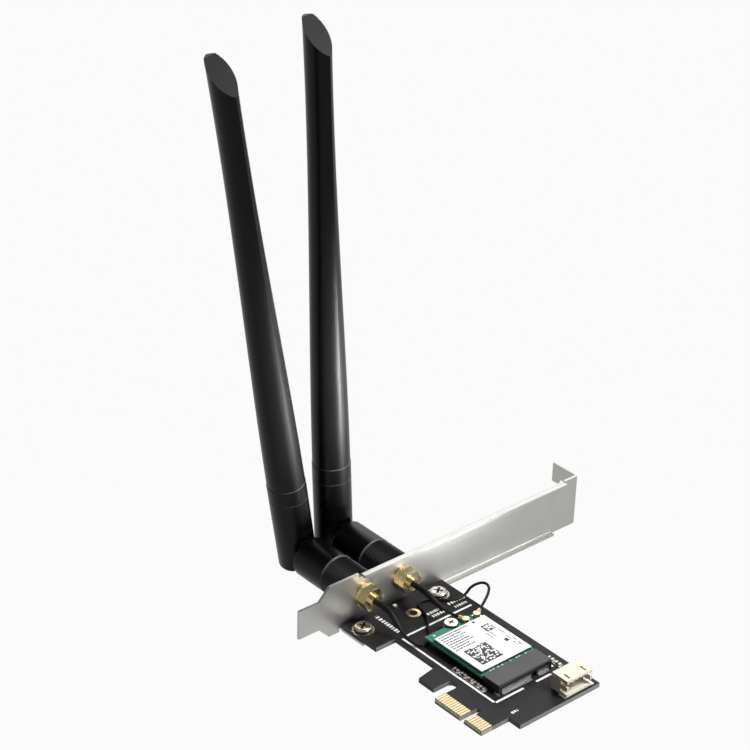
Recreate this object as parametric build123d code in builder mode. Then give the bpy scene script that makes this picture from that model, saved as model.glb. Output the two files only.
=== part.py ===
# Wireless network card for an x1 expansion slot, with two jointed whip aerials. Sizes in millimetres.
# The origin is the centre of the key slot, on the outer edge of the edge connector, mid board.
# X runs along the bracket to its screw tab, Y out through the bracket, Z up from the component side.
import os
from math import cos, pi, radians, sin, tan

from build123d import *

os.makedirs("parts", exist_ok=True)

# Main board
board_thick = 1.57
board_high = board_thick / 2
board_low = -board_thick / 2
ear_edge_x = 3.4
body_edge_x = 11.4
board_right_x = 44.4
board_far_y = -12.9
key_width = 1.9
key_depth = 7.6
finger_pitch = 1.0
finger_width = 0.78
near_fingers = 11
far_fingers = 7
first_finger_y = 1.5
tongue_margin = 0.65
tongue_near_y = first_finger_y + (near_fingers - 1) * finger_pitch + tongue_margin
tongue_far_y = -(first_finger_y + (far_fingers - 1) * finger_pitch + tongue_margin)
tongue_corner = 0.5
tongue_bevel = 0.4
finger_start_x = tongue_bevel + 0.25
finger_end_x = finger_start_x + 4.1
copper_thick = 0.06
hook_slot_width = 3.8
hook_slot_end_x = body_edge_x - 0.9
leg_low_y = tongue_near_y + hook_slot_width
leg_high_y = leg_low_y + 6.7
leg_root_y = leg_high_y + 1.3
ear_inner_y = 42.4

# Bracket
sheet = 0.86
bend_radius = 1.3
plate_inner_y = 58.5
plate_outer_y = plate_inner_y + sheet
board_gap = 0.45
board_near_y = plate_inner_y - board_gap
plate_width = 18.42
plate_low = board_low - sheet
plate_top = plate_low + plate_width
bracket_length = 120.02
tip_x = -13.9
tab_x = tip_x + bracket_length
tip_width = 10.19
tip_length = 7.9
shoulder = (plate_width - tip_width) / 2
tab_depth = 11.43
hook_drop = 7.1
notch_width = 4.42
notch_offset = 6.35
notch_drop = 5.0
stiff_top_depth = 1.9
stiff_low_depth = 1.8
stiff_top_start_x = tip_x + 24.5
stiff_top_end_x = tab_x - 7.3
stiff_low_start_x = board_right_x + 1.6
stiff_low_end_x = tab_x - 12.0
bend_relief = 0.8
lug_width = 7.2
lug_length = 10.4

# Bracket screws
bracket_screw_y = plate_inner_y - 6.1
bracket_screw_xs = (6.7, 38.0)
screw_radius = 1.45
screw_clearance = 0.15
screw_head_radius = 2.9
screw_head_height = 1.5
screw_head_round = 0.9
pad_radius = 3.6
recess_width = 0.75
recess_depth = 0.9
screw_end = 1.2

# Spare plated hole
eyelet_x = 24.4
eyelet_y = 48.9
eyelet_bore = 1.3
eyelet_wall = 0.4
eyelet_rim = 2.4
eyelet_rise = 0.45

# Radio module on its socket
module_x = 27.4
module_width = 22.0
module_length = 30.0
module_thick = 0.8
module_end_y = 34.8
module_rise = 1.77
module_low = board_high + module_rise
module_high = module_low + module_thick
module_edge_y = module_end_y - module_length
edge_notch = 1.05
end_hole_radius = 1.75
socket_wall = 0.95
socket_height = 3.2
socket_front_y = 1.6
socket_mouth_y = 8.65
socket_slack = 0.05
socket_width = module_width - 2 * edge_notch + 2 * (socket_slack + socket_wall)
edge_insertion = socket_mouth_y - module_edge_y
tail_pitch = 0.5
tail_width = 0.25
tail_reach = 0.9
tail_thick = 0.2
socket_tab = (0.8, 1.8, 0.4)
shield_width = 20.8
module_strip = 1.15
shield_height = 1.0
shield_wall = 0.2
shield_near_y = module_end_y - 3.6
shield_length = shield_near_y - socket_mouth_y - module_strip
label_thick = 0.08
label_margin = 0.1
chip_side = 8.0
chip_height = 0.8

# Module screw and standoff
standoff_radius = 2.2
standoff_root = 1.6
module_screw_radius = 0.95
module_head_radius = 2.3
module_head_height = 0.9
module_cross_width = 0.65

# Aerial receptacles on the module and the plugs on the leads
receptacle_y = 33.0
receptacle_left_x = 31.8
receptacle_right_x = 36.5
receptacle_side = 2.3
receptacle_base = 0.3
receptacle_radius = 0.8
receptacle_height = 1.1
cap_wall = 0.27
cap_top = 0.3
cap_clearance = 0.06
barrel_radius = 0.6
barrel_reach = 2.4
barrel_z = module_high + receptacle_base + barrel_radius + 0.1

# Jacks through the bracket
jack_left_x = 12.3
jack_right_x = 27.9
jack_z = 8.4
barrel_thread = 3.175
jack_hole_slack = 0.08
jack_hex = 7.1
jack_hex_length = 3.9
washer_radius = 4.15
washer_thick = 0.6
jack_nut_side = 8.0
jack_nut_thick = 2.0
jack_reach = 9.3
jack_neck_radius = 2.1
jack_neck_length = 1.4
jack_bore = 2.3
jack_bore_depth = 5.0
jack_pin_radius = 0.46
jack_pin_reach = 3.6

# Leads
lead_radius = 0.45
sleeve_radius = 0.95
sleeve_slack = 0.02
lead_rest_z = board_high + lead_radius + 0.1

# Plug header in the far corner
header_x = 36.4
header_width = 10.4
header_depth = 6.5
header_height = 5.8
header_front_y = board_far_y + 0.9
header_wall = 0.65
cavity_depth = 5.2
pin_pitch = 2.0
pin_side = 0.5
pin_count = 4
pin_rise = 2.9
pin_setback_y = 2.0
header_slot_width = 0.7
header_slot_length = 2.6
side_slot_height = 1.1
side_slot_length = 2.8
side_slot_levels = (1.5, 4.1)
header_tab = (1.0, 2.9, 0.3)

# Chip parts on the board, as x, y of each
chip_length = 1.9
chip_width = 1.0
chip_tall = 0.7
chip_cap = 0.42
chip_places = [(14.8, 18.4), (14.9, 15.2), (14.8, 12.1), (14.8, 9.4), (14.7, 6.8),
               (41.2, 4.8), (41.2, 1.6), (22.4, 55.4)]

# Aerials: one size for both, with the angle each leans at and the angle each tips in towards the card
lean_left = -10.6
lean_right = -3.2
tip_in_left = 1.5
tip_in_right = 0.0
nut_radius = 6.7
nut_length = 9.85
nut_gap = 0.35
nut_teeth = 60
tooth_depth = 0.25
nut_wall_back = 2.4
insert_radius = 4.6
insert_slack = 0.1
plug_slack = 0.1
plug_neck_radius = 2.6
plug_flange_radius = 3.0
plug_flange_thick = 0.3
plug_length = 10.6
plug_bore = 1.5
plug_contact_radius = 0.9
contact_slack = 0.04
contact_lead = 3.85
elbow_gap = 0.3
elbow_radius = 6.8
elbow_edge = 0.4
elbow_round = 0.5
hinge_reach = 34.2
foot_radius = 6.3
foot_drop = 5.0
foot_round = 1.2
hinge_clearance = 0.55
tongue_thick = 4.6
tongue_side_gap = 0.2
tongue_radius = 5.0
tongue_top = 6.2
fork_floor = 7.6
hinge_pin_radius = 1.2
pin_running_fit = 0.05
pin_setback = 1.0
collar_low = 21.6
collar_high = 27.2
seam_bevel = 0.2
foot_spigot = 4.5
spigot_length = 4.0
spigot_slack = 0.03
whip_mid = 172.0
whip_cut_angle = 44.0
tip_flat_rise = 4.2
whip_sections = [(0.0, 6.15, 6.15), (0.21, 5.65, 5.9), (0.46, 4.6, 5.6), (0.7, 3.75, 5.45),
                 (1.0, 3.8, 5.95)]
whip_overrun = 10.0
core_top = 160.0
core_low_radius = 4.2
core_top_radius = 2.1
radiator_radius = 1.5
radiator_root = 14.0
radiator_top = 154.0

hinge_y = plate_inner_y + hinge_reach
jack_end_y = plate_outer_y + jack_reach
nut_start_y = plate_outer_y + jack_nut_thick + nut_gap
nut_end_y = nut_start_y + nut_length
elbow_start_y = nut_end_y + elbow_gap
elbow_end_y = hinge_y - foot_radius - hinge_clearance
flange_back_y = nut_end_y - nut_wall_back
flange_front_y = flange_back_y - plug_flange_thick
plug_end_y = flange_front_y + plug_length
jack_hex_back_y = plate_inner_y - washer_thick - jack_hex_length
jack_neck_back_y = jack_hex_back_y - jack_neck_length


def flat(z):
    """Plane at height z, looking up."""
    return Plane(origin=(0, 0, z), x_dir=(1, 0, 0), z_dir=(0, 0, 1))


def across(x, y, z):
    """Plane square to Y at a point, looking out through the bracket, with its x along X reversed."""
    return Plane(origin=(x, y, z), x_dir=(-1, 0, 0), z_dir=(0, 1, 0))


def lean_vector(lean):
    """Direction that an aerial points in when it is swivelled by lean degrees."""
    return Vector(sin(radians(lean)), 0, cos(radians(lean)))


def hinge_axis(lean):
    """Direction of the hinge pin of an aerial that is swivelled by lean degrees."""
    return Vector(cos(radians(lean)), 0, -sin(radians(lean)))


def aerial_plane(seat, y):
    """Plane square to the jack axis at distance y, with its y along the whip."""
    return Plane(origin=(seat[0], y, jack_z), x_dir=hinge_axis(seat[1]) * -1, z_dir=(0, 1, 0))


def whip_plane(seat, rise):
    """Plane square to a whip at a height above the hinge, with its x along the hinge pin."""
    x, lean, tip_in = seat
    up = lean_vector(lean) * cos(radians(tip_in)) - Vector(0, sin(radians(tip_in)), 0)
    return Plane(origin=Vector(x, hinge_y, jack_z) + up * rise, x_dir=hinge_axis(lean), z_dir=up)


def tongue_plane(seat):
    """Plane square to the hinge pin at the middle of the hinge: x along Y, y square to the jack axis."""
    return Plane(origin=(seat[0], hinge_y, jack_z), x_dir=(0, 1, 0), z_dir=hinge_axis(seat[1]))


def fork_plane(seat):
    """Plane square to the hinge pin through the middle of the hinge, with its y along the whip."""
    base = whip_plane(seat, 0)
    return Plane(origin=base.origin, x_dir=base.y_dir, z_dir=base.x_dir)


screw_places = [(x, bracket_screw_y) for x in bracket_screw_xs]

# Main board: one plate with the ear, the card hook, the keyed tongue and the holes
with BuildPart() as main_board:
    with BuildSketch(flat(board_low)) as outline:
        with BuildLine():
            Polyline(
                (ear_edge_x, board_near_y), (board_right_x, board_near_y), (board_right_x, board_far_y),
                (body_edge_x, board_far_y), (body_edge_x, tongue_far_y), (tongue_corner, tongue_far_y),
                (0, tongue_far_y + tongue_corner), (0, tongue_near_y - tongue_corner),
                (tongue_corner, tongue_near_y), (hook_slot_end_x, tongue_near_y),
                (hook_slot_end_x, leg_low_y), (ear_edge_x, leg_low_y),
                (ear_edge_x, leg_high_y), (body_edge_x, leg_root_y), (body_edge_x, ear_inner_y),
                (ear_edge_x, ear_inner_y), close=True)
        make_face()
        slot_end_span = (hook_slot_end_x - 0.1, hook_slot_end_x + 0.1)
        fillet(outline.vertices().filter_by_position(Axis.X, *slot_end_span), radius=hook_slot_width * 0.45)
        with Locations((0, 0)):
            SlotOverall(2 * key_depth, key_width, mode=Mode.SUBTRACT)
        with Locations(screw_places):
            Circle(screw_radius + screw_clearance, mode=Mode.SUBTRACT)
        with Locations((eyelet_x, eyelet_y)):
            Circle(eyelet_bore + eyelet_wall, mode=Mode.SUBTRACT)
        with Locations((module_x, module_end_y)):
            Circle(standoff_root, mode=Mode.SUBTRACT)
    extrude(amount=board_thick)
    chamfer(main_board.edges().filter_by(Axis.Y).group_by(Axis.X)[0], length=tongue_bevel)
main_board.part.label = "main_board"

finger_ys = [first_finger_y + n * finger_pitch for n in range(near_fingers)]
finger_ys += [-first_finger_y - n * finger_pitch for n in range(far_fingers)]
finger_places = [((finger_start_x + finger_end_x) / 2, y) for y in finger_ys]
with BuildPart() as edge_contacts:
    with BuildSketch(flat(board_high)):
        with Locations(finger_places):
            Rectangle(finger_end_x - finger_start_x, finger_width)
    extrude(amount=copper_thick)
    with BuildSketch(flat(board_low)):
        with Locations(finger_places):
            Rectangle(finger_end_x - finger_start_x, finger_width)
    extrude(amount=-copper_thick)
edge_contacts.part.label = "edge_contacts"

# Plated rings under the bracket screws, and the spare plated hole
with BuildPart() as board_pads:
    with BuildSketch(flat(board_high)):
        with Locations(screw_places):
            Circle(pad_radius)
            Circle(screw_radius + screw_clearance, mode=Mode.SUBTRACT)
    extrude(amount=copper_thick)
    with BuildSketch(flat(board_high)):
        with Locations((eyelet_x, eyelet_y)):
            Circle(eyelet_rim)
    extrude(amount=eyelet_rise)
    with BuildSketch(flat(board_low)):
        with Locations((eyelet_x, eyelet_y)):
            Circle(eyelet_bore + eyelet_wall)
    extrude(amount=board_thick)
    with BuildSketch(flat(board_low)):
        with Locations((eyelet_x, eyelet_y)):
            Circle(eyelet_bore)
    extrude(amount=board_thick + eyelet_rise, mode=Mode.SUBTRACT)
board_pads.part.label = "board_pads"

def fold_section(x, edge_z, depth, turn):
    """Section of a flange folded in from an edge of the plate: turn is 1 at the top, -1 at the low edge."""
    bend_y = plate_outer_y - bend_radius
    bend_z = edge_z - turn * bend_radius
    inner_z = edge_z - turn * sheet
    end_y = plate_inner_y - depth
    with BuildSketch(Plane.YZ.offset(x)) as section:
        with BuildLine():
            Line((plate_inner_y, bend_z), (plate_outer_y, bend_z))
            RadiusArc((plate_outer_y, bend_z), (bend_y, edge_z), -turn * bend_radius)
            Polyline((bend_y, edge_z), (end_y, edge_z), (end_y, inner_z), (bend_y, inner_z))
            RadiusArc((bend_y, inner_z), (plate_inner_y, bend_z), turn * (bend_radius - sheet))
        make_face()
    return section.sketch


# Bracket: folded sheet with tongue, stiffening flanges, board lugs and screw tab
lug_spans = [(x - lug_width / 2, x + lug_width / 2) for x in bracket_screw_xs]
low_folds = [(start, end, lug_length) for start, end in lug_spans]
low_folds.append((stiff_low_start_x, stiff_low_end_x, stiff_low_depth))
top_folds = [(stiff_top_start_x, stiff_top_end_x, stiff_top_depth)]
tongue_low = plate_low + shoulder
tongue_top_z = plate_top - shoulder
shoulder_x = tip_x + tip_length
tab_root_y = plate_inner_y + bend_radius
notch_y = plate_inner_y + notch_offset
notch_z = plate_top - notch_drop - notch_width / 2
with BuildPart() as io_bracket:
    with BuildSketch(Plane.XZ.offset(-plate_outer_y)):
        with BuildLine():
            Polyline(
                (tip_x, tongue_low), (tip_x, tongue_top_z), (shoulder_x, tongue_top_z),
                (shoulder_x + shoulder, plate_top), (tab_x - bend_radius, plate_top),
                (tab_x - bend_radius, plate_low), (shoulder_x + shoulder, plate_low),
                (shoulder_x, tongue_low), close=True)
        make_face()
        with Locations([(jack_left_x, jack_z), (jack_right_x, jack_z)]):
            Circle(barrel_thread + jack_hole_slack, mode=Mode.SUBTRACT)
        for folds, edge_z in ((top_folds, plate_top), (low_folds, plate_low)):
            for fold in folds:
                with Locations(((fold[0] + fold[1]) / 2, edge_z)):
                    Rectangle(fold[1] - fold[0] + 2 * bend_relief, 2 * bend_radius, mode=Mode.SUBTRACT)
    extrude(amount=sheet)
    for folds, edge_z, turn in ((top_folds, plate_top, 1), (low_folds, plate_low, -1)):
        for start, end, depth in folds:
            extrude(fold_section(start, edge_z, depth, turn), amount=end - start)
    with BuildSketch(flat(plate_low)):
        with Locations(screw_places):
            Circle(screw_radius + 0.05)
    extrude(amount=sheet, mode=Mode.SUBTRACT)
    # screw tab: bend, then the flat with its open notch
    with BuildSketch(flat(plate_low)):
        with BuildLine():
            RadiusArc((tab_x - bend_radius, plate_inner_y), (tab_x, tab_root_y), -bend_radius)
            Line((tab_x, tab_root_y), (tab_x - sheet, tab_root_y))
            RadiusArc((tab_x - sheet, tab_root_y), (tab_x - bend_radius, plate_outer_y), bend_radius - sheet)
            Line((tab_x - bend_radius, plate_outer_y), (tab_x - bend_radius, plate_inner_y))
        make_face()
    extrude(amount=plate_width)
    with BuildSketch(Plane.YZ.offset(tab_x)):
        with BuildLine():
            Polyline(
                (tab_root_y, plate_low), (tab_root_y, plate_top), (plate_inner_y + tab_depth, plate_top),
                (plate_inner_y + tab_depth, plate_top - hook_drop), (notch_y, plate_top - hook_drop),
                (notch_y, plate_low), close=True)
        make_face()
        with Locations((notch_y, notch_z)):
            Circle(notch_width / 2, mode=Mode.SUBTRACT)
        with Locations((notch_y, (notch_z + plate_low) / 2)):
            Rectangle(notch_width, notch_z - plate_low, mode=Mode.SUBTRACT)
    extrude(amount=-sheet)
io_bracket.part.label = "io_bracket"

# Cross-head screws that hold the board to the lugs
screw_seat = board_high + copper_thick
with BuildPart() as bracket_screws:
    with BuildSketch(flat(screw_seat)):
        with Locations(screw_places):
            Circle(screw_head_radius)
    extrude(amount=screw_head_height)
    fillet(bracket_screws.edges().group_by(Axis.Z)[-1], radius=screw_head_round)
    with BuildSketch(flat(plate_low - screw_end)):
        with Locations(screw_places):
            Circle(screw_radius)
    extrude(amount=screw_seat - plate_low + screw_end)
    with BuildSketch(flat(screw_seat + screw_head_height)):
        with Locations(screw_places):
            Rectangle(2 * (screw_head_radius - screw_head_round) - recess_width, recess_width, rotation=35)
            Rectangle(recess_width, 2 * (screw_head_radius - screw_head_round) - recess_width, rotation=35)
    extrude(amount=-recess_depth, mode=Mode.SUBTRACT)
bracket_screws.part.label = "bracket_screws"

# Radio module: board, shield, label, chip and the small parts by its edge
with BuildPart() as module_board:
    with BuildSketch(flat(module_low)):
        with Locations((module_x, (module_end_y + module_edge_y) / 2)):
            Rectangle(module_width, module_length)
        with Locations((module_x, module_end_y)):
            Circle(end_hole_radius, mode=Mode.SUBTRACT)
        notch_reach = (module_width - edge_notch) / 2
        notch_mid_y = module_edge_y + edge_insertion / 2
        with Locations([(module_x - notch_reach, notch_mid_y), (module_x + notch_reach, notch_mid_y)]):
            Rectangle(edge_notch, edge_insertion, mode=Mode.SUBTRACT)
    extrude(amount=module_thick)
module_board.part.label = "module_board"

shield_mid_y = shield_near_y - shield_length / 2
with BuildPart() as module_shield:
    with BuildSketch(flat(module_high)):
        with Locations((module_x, shield_mid_y)):
            Rectangle(shield_width, shield_length)
    extrude(amount=shield_height)
    with BuildSketch(flat(module_high)):
        with Locations((module_x, shield_mid_y)):
            Rectangle(shield_width - 2 * shield_wall, shield_length - 2 * shield_wall)
    extrude(amount=shield_height - shield_wall, mode=Mode.SUBTRACT)
module_shield.part.label = "module_shield"

with BuildPart() as module_label:
    with BuildSketch(flat(module_high + shield_height)):
        with Locations((module_x, shield_mid_y)):
            Rectangle(shield_width - 2 * label_margin, shield_length - 2 * label_margin)
    extrude(amount=label_thick)
module_label.part.label = "module_label"

with BuildPart() as radio_chip:
    with BuildSketch(flat(module_high)):
        with Locations((module_x, shield_mid_y)):
            Rectangle(chip_side, chip_side)
    extrude(amount=chip_height)
radio_chip.part.label = "radio_chip"

strip_y = socket_mouth_y + module_strip / 2
with BuildPart() as module_parts:
    with BuildSketch(flat(module_high)):
        with Locations([(module_x + dx, strip_y) for dx in (-7.4, -6.2, -4.2, -2.6, 0.9, 3.4, 4.6, 7.2)]):
            Rectangle(0.8, module_strip * 0.35)
        with Locations((module_x - 8.6, module_end_y - 1.6)):
            Rectangle(0.9, 0.5)
    extrude(amount=0.4)
module_parts.part.label = "module_parts"

# Card socket on the main board, with its solder tails in two groups
socket_top = board_high + socket_height
with BuildPart() as socket_housing:
    with BuildSketch(flat(board_high)):
        with Locations((module_x, (socket_front_y + socket_mouth_y) / 2)):
            Rectangle(socket_width, socket_mouth_y - socket_front_y)
    extrude(amount=socket_height)
    with BuildSketch(flat(module_low - socket_slack)):
        with Locations((module_x, (module_edge_y + socket_mouth_y) / 2)):
            Rectangle(module_width - 2 * edge_notch + 2 * socket_slack, edge_insertion)
    extrude(amount=module_thick + 2 * socket_slack, mode=Mode.SUBTRACT)
    with BuildSketch(flat(board_high)):
        with Locations((module_x + socket_width * 0.17, socket_front_y)):
            Rectangle(socket_width * 0.07, 1.4)
    extrude(amount=socket_height * 0.6, mode=Mode.SUBTRACT)
    chamfer(socket_housing.edges().filter_by(Axis.X).group_by(Axis.Z)[-1].group_by(Axis.Y)[0], length=0.35)
socket_housing.part.label = "socket_housing"

tail_xs = [module_x - 9.5 + n * tail_pitch for n in range(24)]
tail_xs += [module_x + 5.4 + n * tail_pitch for n in range(9)]
with BuildPart() as socket_tails:
    with BuildSketch(flat(board_high)):
        with Locations([(x, socket_front_y - tail_reach / 2) for x in tail_xs]):
            Rectangle(tail_width, tail_reach)
    extrude(amount=tail_thick)
    with BuildSketch(flat(board_high)):
        with Locations([(x, socket_front_y - tail_thick / 2) for x in tail_xs]):
            Rectangle(tail_width, tail_thick)
    extrude(amount=socket_height * 0.5)
    with BuildSketch(flat(board_high)):
        tab_reach = (socket_width + socket_tab[0]) / 2
        with Locations([(module_x + s * tab_reach, socket_front_y + 0.7) for s in (-1, 1)]):
            Rectangle(socket_tab[0], socket_tab[1])
    extrude(amount=socket_tab[2])
socket_tails.part.label = "socket_tails"

# Standoff and screw at the free end of the module
with BuildPart() as module_standoff:
    with BuildSketch(flat(board_high)):
        with Locations((module_x, module_end_y)):
            Circle(standoff_radius)
    extrude(amount=module_rise)
    with BuildSketch(flat(board_low)):
        with Locations((module_x, module_end_y)):
            Circle(standoff_root)
    extrude(amount=board_thick)
    with BuildSketch(flat(board_low)):
        with Locations((module_x, module_end_y)):
            Circle(module_screw_radius + 0.05)
    extrude(amount=board_thick + module_rise, mode=Mode.SUBTRACT)
module_standoff.part.label = "module_standoff"

with BuildPart() as module_screw:
    with BuildSketch(flat(module_high)):
        with Locations((module_x, module_end_y)):
            Circle(module_head_radius)
    extrude(amount=module_head_height)
    fillet(module_screw.edges().group_by(Axis.Z)[-1], radius=module_head_height * 0.4)
    with BuildSketch(flat(board_high)):
        with Locations((module_x, module_end_y)):
            Circle(module_screw_radius)
    extrude(amount=module_high - board_high)
    with BuildSketch(flat(module_high + module_head_height)):
        with Locations((module_x, module_end_y)):
            Rectangle(module_head_radius * 1.1, module_cross_width, rotation=20)
            Rectangle(module_cross_width, module_head_radius * 1.1, rotation=20)
    extrude(amount=-module_head_height * 0.6, mode=Mode.SUBTRACT)
module_screw.part.label = "module_screw"

# Aerial receptacles on the module
receptacle_places = [(receptacle_left_x, receptacle_y), (receptacle_right_x, receptacle_y)]
with BuildPart() as aerial_receptacles:
    with BuildSketch(flat(module_high)):
        with Locations(receptacle_places):
            Rectangle(receptacle_side, receptacle_side)
    extrude(amount=receptacle_base)
    with BuildSketch(flat(module_high + receptacle_base)):
        with Locations(receptacle_places):
            Circle(receptacle_radius)
    extrude(amount=receptacle_height - receptacle_base)
aerial_receptacles.part.label = "aerial_receptacles"

# Lead routes: straight runs joined by arcs
cap_radius = receptacle_radius + cap_clearance + cap_wall
left_turn = 27.0
right_turn = 109.8
left_heading = (cos(radians(left_turn)), sin(radians(left_turn)))
right_heading = (cos(radians(right_turn)), sin(radians(right_turn)))
left_points = [
    (jack_left_x, jack_neck_back_y, jack_z),
    (jack_left_x, jack_neck_back_y - 6.0, jack_z),
    (jack_left_x + 0.3, ear_inner_y - 2.4, lead_rest_z + 1.2),
    (jack_left_x + 0.9, module_end_y - 0.8, lead_rest_z + 0.1),
    (module_x - 8.8, module_end_y - 1.2, lead_rest_z),
    (module_x - 5.4, module_end_y + 4.8, lead_rest_z),
    (eyelet_x + 2.2, eyelet_y - 4.3, lead_rest_z),
    (eyelet_x + 3.8, eyelet_y + 3.3, lead_rest_z),
    (eyelet_x + 8.8, eyelet_y + 3.0, lead_rest_z),
    (board_right_x - 6.0, eyelet_y - 2.7, lead_rest_z),
    (board_right_x - 0.8, eyelet_y - 3.0, lead_rest_z),
    (board_right_x + 1.2, eyelet_y - 3.5, lead_rest_z + 3.1),
    (board_right_x + 5.1, eyelet_y - 5.0, lead_rest_z + 3.9),
    (board_right_x + 4.9, eyelet_y - 8.3, lead_rest_z + 3.7),
    (board_right_x - 0.2, eyelet_y - 12.0, barrel_z + 0.2),
    (receptacle_right_x + barrel_reach * left_heading[0],
     receptacle_y + barrel_reach * left_heading[1], barrel_z),
]
right_points = [
    (jack_right_x, jack_neck_back_y, jack_z),
    (jack_right_x, jack_neck_back_y - 5.2, jack_z),
    (jack_right_x + 0.7, jack_neck_back_y - 9.6, jack_z - 2.2),
    (receptacle_left_x + 6.0 * right_heading[0], receptacle_y + 6.0 * right_heading[1], barrel_z),
    (receptacle_left_x + barrel_reach * right_heading[0],
     receptacle_y + barrel_reach * right_heading[1], barrel_z),
]


def arc_radii(points):
    """Radius of each arc: 0.45 of the shorter run at a turn, over the tangent of half the turn."""
    found = []
    for a, b, c in zip(points, points[1:], points[2:]):
        into = Vector(*b) - Vector(*a)
        out = Vector(*c) - Vector(*b)
        half = radians(into.get_angle(out)) / 2
        found.append(0.45 * min(into.length, out.length) / tan(half))
    return found


def lead_tube(points, name):
    """Round tube along a route."""
    radii = arc_radii(points)
    print(name, "arc radii", [round(r, 1) for r in radii])
    with BuildPart() as tube:
        with BuildLine() as route:
            FilletPolyline(*points, radius=radii)
        with BuildSketch(Plane(origin=route.wires()[0] @ 0, z_dir=route.wires()[0] % 0)):
            Circle(lead_radius)
        sweep()
    length = route.wires()[0].length
    by_volume = tube.part.volume / (pi * lead_radius**2)
    print(name, "length", round(length, 1), "volume over section", round(by_volume, 1))
    tube.part.label = name
    return tube


pigtail_left = lead_tube(left_points, "pigtail_left")
pigtail_right = lead_tube(right_points, "pigtail_right")


def lead_plug(x, heading, name):
    """Snap-on plug at the module end of a lead: a cap over the receptacle and a barrel for the lead."""
    with BuildPart() as plug:
        with BuildSketch(flat(module_high + receptacle_base + 0.05)):
            with Locations((x, receptacle_y)):
                Circle(cap_radius)
        extrude(amount=receptacle_height - receptacle_base - 0.05 + cap_top)
        with BuildSketch(Plane(origin=(x + 0.9 * heading[0], receptacle_y + 0.9 * heading[1], barrel_z),
                               z_dir=(heading[0], heading[1], 0))):
            Circle(barrel_radius)
        extrude(amount=barrel_reach - 0.9)
        with BuildSketch(flat(module_high + receptacle_base + 0.05)):
            with Locations((x, receptacle_y)):
                Circle(receptacle_radius + cap_clearance)
        extrude(amount=receptacle_height - receptacle_base - 0.05, mode=Mode.SUBTRACT)
    plug.part.label = name
    return plug


plug_left = lead_plug(receptacle_right_x, left_heading, "plug_left")
plug_right = lead_plug(receptacle_left_x, right_heading, "plug_right")


def lead_sleeve(points, turns, share, name):
    """Shrunk sleeve over the first turns of a lead and a share of the run after them."""
    last = Vector(*points[turns])
    end = last + (Vector(*points[turns + 1]) - last) * share
    with BuildPart() as sleeve:
        with BuildLine() as route:
            FilletPolyline(*points[:turns + 1], end, radius=arc_radii(points)[:turns])
        with BuildSketch(Plane(origin=route.wires()[0] @ 0, z_dir=route.wires()[0] % 0)):
            Circle(sleeve_radius)
            Circle(lead_radius + sleeve_slack, mode=Mode.SUBTRACT)
        sweep()
    sleeve.part.label = name
    return sleeve


sleeve_left = lead_sleeve(left_points, 1, 0.64, "sleeve_left")
sleeve_right = lead_sleeve(right_points, 2, 0.6, "sleeve_right")


def bulkhead_jack(x, name):
    """Gold jack: hexagon and neck inside the bracket, threaded barrel through it."""
    with BuildPart() as jack:
        with BuildSketch(across(x, jack_hex_back_y, jack_z)):
            RegularPolygon(jack_hex / 2, 6, major_radius=False)
        extrude(amount=jack_hex_length)
        with BuildSketch(across(x, jack_neck_back_y, jack_z)):
            Circle(jack_neck_radius)
        extrude(amount=jack_neck_length)
        with BuildSketch(across(x, plate_inner_y - washer_thick, jack_z)):
            Circle(barrel_thread)
        extrude(amount=jack_end_y - plate_inner_y + washer_thick)
        chamfer(jack.edges().group_by(Axis.Y)[-1], length=0.4)
        with BuildSketch(across(x, jack_hex_back_y + 1.0, jack_z)):
            Circle(jack_bore)
        extrude(amount=jack_end_y - jack_hex_back_y - 1.0, mode=Mode.SUBTRACT)
    jack.part.label = name
    return jack


jack_left = bulkhead_jack(jack_left_x, "jack_left")
jack_right = bulkhead_jack(jack_right_x, "jack_right")
jack_xs = (jack_left_x, jack_right_x)

with BuildPart() as jack_washers:
    for x in jack_xs:
        with BuildSketch(across(x, plate_inner_y - washer_thick, jack_z)):
            Circle(washer_radius)
            Circle(barrel_thread + jack_hole_slack, mode=Mode.SUBTRACT)
        extrude(amount=washer_thick)
jack_washers.part.label = "jack_washers"

with BuildPart() as jack_nuts:
    for x in jack_xs:
        with BuildSketch(across(x, plate_outer_y, jack_z)):
            RegularPolygon(jack_nut_side / 2, 6, major_radius=False)
            Circle(barrel_thread + jack_hole_slack, mode=Mode.SUBTRACT)
        extrude(amount=jack_nut_thick)
jack_nuts.part.label = "jack_nuts"

insulator_end_y = jack_end_y - jack_bore_depth
with BuildPart() as jack_insulators:
    for x in jack_xs:
        with BuildSketch(across(x, jack_hex_back_y + 1.0, jack_z)):
            Circle(jack_bore)
            Circle(jack_pin_radius, mode=Mode.SUBTRACT)
        extrude(amount=insulator_end_y - jack_hex_back_y - 1.0)
jack_insulators.part.label = "jack_insulators"

with BuildPart() as jack_pins:
    for x in jack_xs:
        with BuildSketch(across(x, jack_hex_back_y + 1.0, jack_z)):
            Circle(jack_pin_radius)
        extrude(amount=insulator_end_y + jack_pin_reach - jack_hex_back_y - 1.0)
jack_pins.part.label = "jack_pins"

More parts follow.
